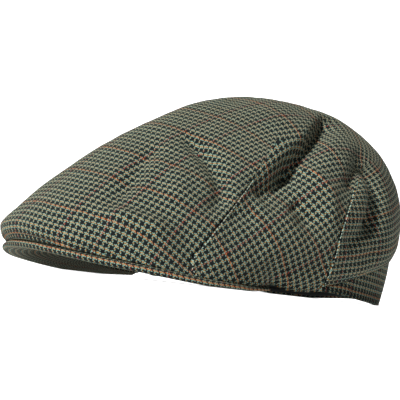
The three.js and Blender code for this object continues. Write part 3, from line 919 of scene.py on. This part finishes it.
seam_columns, seam_height, seam_shares = 240, 0.07, np.linspace(0.04, 0.96, 12)
lockstitch = {"stitch": 2.5, "pitch": 3.0, "thickness": 0.5, "thread": thread_tone["dark"]}
sweat_joins = (-52.2, -53.8, -95.5, 95.5)
lower_degs = np.linspace(-96, 96, seam_columns)
sweat_paths = [sweat_wall(lower_degs, seam_height, sweat_thickness + 0.1)]
sweat_paths += [sweat_wall(deg, seam_shares, sweat_thickness + 0.3) for deg in sweat_joins]
stitched("sweatband_stitches", sweat_paths, slot="sweatband_twill", **lockstitch)

stretch_joins = (99.5, 212, 260.5)
back_degs = np.linspace(stretch_start_deg + 1, 359 - stretch_start_deg, seam_columns)
stretch_paths = [sweat_wall(back_degs, seam_height, sweat_thickness + 0.25)]
stretch_paths += [sweat_wall(deg, seam_shares, sweat_thickness + 0.45) for deg in stretch_joins]
stitched("stretch_band_stitches", stretch_paths, slot="stretch_satin", **lockstitch)

# STAGE, LIGHT AND CAMERA
# A white paper sweep, flat under the cap and rising far behind it. One broad lamp stands in
# front and above, with a dim even surround, and the camera is held just above the paper.

# Studio paper: matt white, with a little light of its own to keep it even. Sizes in metres
sweep_front, sweep_flat, sweep_radius, sweep_top, sweep_half = -4.0, 2.2, 1.2, 3.0, 4.0
sweep_turn, paper_white, paper_glow = np.radians(58.4), 0.92, 0.22
sweep_rows = [(sweep_front, 0.0), (sweep_flat, 0.0)]
sweep_rows += [(sweep_flat + sweep_radius * np.sin(a), sweep_radius * (1 - np.cos(a)))
               for a in np.radians((15, 30, 45, 60, 75, 90))]
sweep_rows += [(sweep_flat + sweep_radius, sweep_top)]
s, c = np.sin(sweep_turn), np.cos(sweep_turn)
sweep_points = [(c * x - s * y, c * y + s * x, z)
                for y, z in sweep_rows for x in (-sweep_half, sweep_half)]
floor_mesh = bpy.data.meshes.new("floor")
floor_mesh.from_pydata(sweep_points, [], [(2 * i, 2 * i + 1, 2 * i + 3, 2 * i + 2)
                                          for i in range(len(sweep_rows) - 1)])
floor_mesh.shade_smooth()
floor = bpy.data.objects.new("floor", floor_mesh)
bpy.context.scene.collection.objects.link(floor)
paper = bpy.data.materials.new("white paper sweep")
paper.use_nodes = True
for socket, value in (("Base Color", (paper_white, paper_white, paper_white, 1)),
                      ("Emission Color", (1, 1, 1, 1)), ("Emission Strength", paper_glow),
                      ("Roughness", 1), ("Specular IOR Level", 0)):
    paper.node_tree.nodes["Principled BSDF"].inputs[socket].default_value = value
floor_mesh.materials.append(paper)

surround_strength = 0.055
world = bpy.data.worlds.new("studio")
bpy.context.scene.world = world
world.use_nodes = True
world.node_tree.nodes["Background"].inputs["Color"].default_value = (1, 1, 1, 1)
world.node_tree.nodes["Background"].inputs["Strength"].default_value = surround_strength

# The camera looks from the photo's direction, so that look falls on look_px of the picture
view_az, view_el, view_roll = np.radians(57.0), np.radians(-2.78), np.radians(6.4)
view_distance, px_per_mm, picture_px, sensor_mm = 1000.0, 1.535, 400, 36
look, look_px = np.array((0.0, rim_centre_y, 50.0)), np.array((243.5, 213.0))
back = np.array((np.sin(view_az) * np.cos(view_el), -np.cos(view_az) * np.cos(view_el),
                 np.sin(view_el)))
right = np.array((np.cos(view_az), np.sin(view_az), 0.0))
up = np.cross(back, right)
right, up = (right * np.cos(view_roll) + up * np.sin(view_roll),
             up * np.cos(view_roll) - right * np.sin(view_roll))
place = look + back * view_distance
off_centre = (look_px - picture_px / 2) / px_per_mm
aim = look - right * off_centre[0] + up * off_centre[1]
back = (place - aim) / np.linalg.norm(place - aim)
right = np.cross(up, back)
right /= np.linalg.norm(right)
up = np.cross(back, right)
camera_data = bpy.data.cameras.new("camera")
camera_data.sensor_width = sensor_mm
camera_data.lens = float(px_per_mm * view_distance / picture_px * sensor_mm)
camera_data.clip_start, camera_data.clip_end = 0.001, 50
camera = bpy.data.objects.new("camera", camera_data)
bpy.context.scene.collection.objects.link(camera)
camera.matrix_world = Matrix([[right[i], up[i], back[i], place[i] * mm] for i in range(3)]
                             + [[0, 0, 0, 1]])
bpy.context.scene.camera = camera

lamp_strength, lamp_width_deg, lamp_from = 6.0, 9, (0.2, -0.82, 0.62)
light_data = bpy.data.lights.new("key light", "SUN")
light_data.energy, light_data.angle = lamp_strength, np.radians(lamp_width_deg)
light = bpy.data.objects.new("key light", light_data)
light.location = lamp_from
light.rotation_mode = "QUATERNION"
light.rotation_quaternion = light.location.to_track_quat("Z", "Y")
bpy.context.scene.collection.objects.link(light)

bpy.context.scene.view_settings.view_transform = "Standard"
